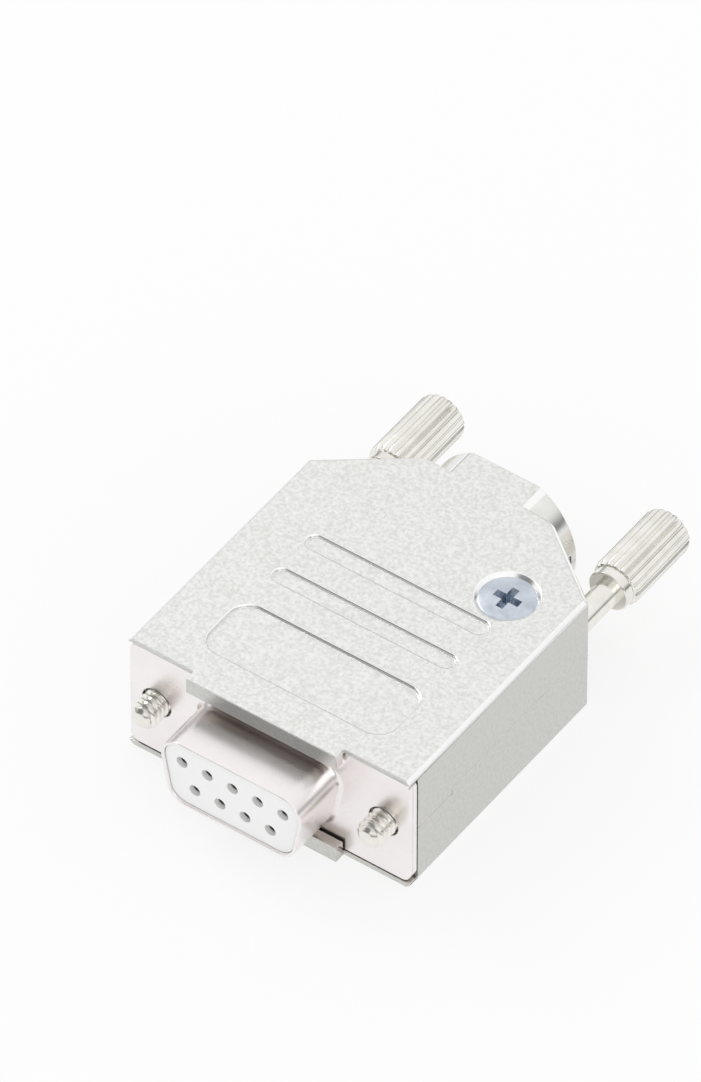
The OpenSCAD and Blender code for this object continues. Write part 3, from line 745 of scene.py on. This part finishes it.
def make_floor():
    data = bpy.data.meshes.new("floor")
    half = FLOOR_SIZE / 2
    z = cad_box[0][2] - FLOOR_DROP
    corners = [(-half, -half, z), (half, -half, z), (half, half, z), (-half, half, z)]
    data.from_pydata(corners, [], [(0, 1, 2, 3)])
    floor = bpy.data.objects.new("floor", data)
    bpy.context.scene.collection.objects.link(floor)
    material, tree, output = new_tree("pale_floor")
    matt = add(tree, "ShaderNodeBsdfDiffuse", {"Color": grey(0.9)})
    white = add(tree, "ShaderNodeEmission", {"Color": grey(1), "Strength": 1.0})
    rays = add(tree, "ShaderNodeLightPath")
    seen = maths(tree, "MAXIMUM", rays.outputs["Is Camera Ray"], rays.outputs["Is Glossy Ray"])
    share = product(tree, seen, FLOOR_WHITE)
    surface = add(tree, "ShaderNodeMixShader", {0: share, 1: matt.outputs[0], 2: white.outputs[0]})
    tree.links.new(surface.outputs[0], output.inputs[0])
    data.materials.append(material)


SKY_BOTTOM = -0.1            # height of a direction where the sky's first level lies
SKY_LEVELS = ((0.0, 0.9), (0.09, 0.5), (0.17, 0.14), (0.26, 0.5), (0.4, 0.95), (1.0, 1.0))
DARK_CARD = Vector((-0.41, -0.72, 0.56)).normalized()
DARK_CARD_LEVEL = 0.22
DARK_CARD_REACH = math.cos(math.radians(30))
DARK_CARD_CORE = math.cos(math.radians(20))


def mirrored_sky(tree):
    """What the metal mirrors: a pale sky with a dark band low down, and a dark card in front on the left."""
    direction = add(tree, "ShaderNodeTexCoord").outputs["Generated"]
    ramp = add(tree, "ShaderNodeValToRGB", {0: remap(tree, height_of(tree, direction), SKY_BOTTOM, 1.0)})
    stops = ramp.color_ramp.elements
    stops[0].position, stops[1].position = SKY_LEVELS[0][0], SKY_LEVELS[-1][0]
    for position, level in SKY_LEVELS[1:-1]:
        stops.new(position)
    for stop, (position, level) in zip(stops, SKY_LEVELS):
        stop.color = grey(level)
    beside = add(tree, "ShaderNodeVectorMath", {0: direction, 1: DARK_CARD}, operation="DOT_PRODUCT")
    on_card = remap(tree, beside.outputs["Value"], DARK_CARD_REACH, DARK_CARD_CORE)
    return mix_colour(tree, on_card, ramp.outputs[0], grey(DARK_CARD_LEVEL))


PLAIN_LIGHT = 0.9


def make_world():
    """White behind the object, a pale sky in its mirrors, and a plain level of light."""
    world = bpy.data.worlds.new("studio")
    bpy.context.scene.world = world
    world.use_nodes = True
    tree = world.node_tree
    tree.nodes.clear()
    output = add(tree, "ShaderNodeOutputWorld")
    rays = add(tree, "ShaderNodeLightPath")
    plain = add(tree, "ShaderNodeBackground", {"Color": grey(1), "Strength": PLAIN_LIGHT})
    mirrored = add(tree, "ShaderNodeBackground", {"Color": mirrored_sky(tree), "Strength": 1.0})
    white = add(tree, "ShaderNodeBackground", {"Color": grey(1), "Strength": 1.0})
    glossy = add(tree, "ShaderNodeMixShader",
                 {0: rays.outputs["Is Glossy Ray"], 1: plain.outputs[0], 2: mirrored.outputs[0]})
    seen = maths(tree, "MAXIMUM", rays.outputs["Is Camera Ray"], rays.outputs["Is Transmission Ray"])
    final = add(tree, "ShaderNodeMixShader", {0: seen, 1: glossy.outputs[0], 2: white.outputs[0]})
    tree.links.new(final.outputs[0], output.inputs[0])


def area_lamp(name, place, size, power):
    """A square soft lamp that faces the object. place and size are in metres, power in watts."""
    data = bpy.data.lights.new(name, "AREA")
    data.size = size
    data.energy = power
    lamp = bpy.data.objects.new(name, data)
    lamp.location = place
    target = (Vector(cad_box[0]) + Vector(cad_box[1])) / 2
    lamp.rotation_euler = (lamp.location - target).to_track_quat("Z", "Y").to_euler()
    bpy.context.scene.collection.objects.link(lamp)


make_floor()
make_world()
area_lamp("key_lamp", place=(-0.65, 0.1, 0.55), size=0.3, power=1.15)
area_lamp("fill_lamp", place=(0.6, -0.35, 0.4), size=0.4, power=0.4)

bpy.context.scene.view_settings.view_transform = "Standard"
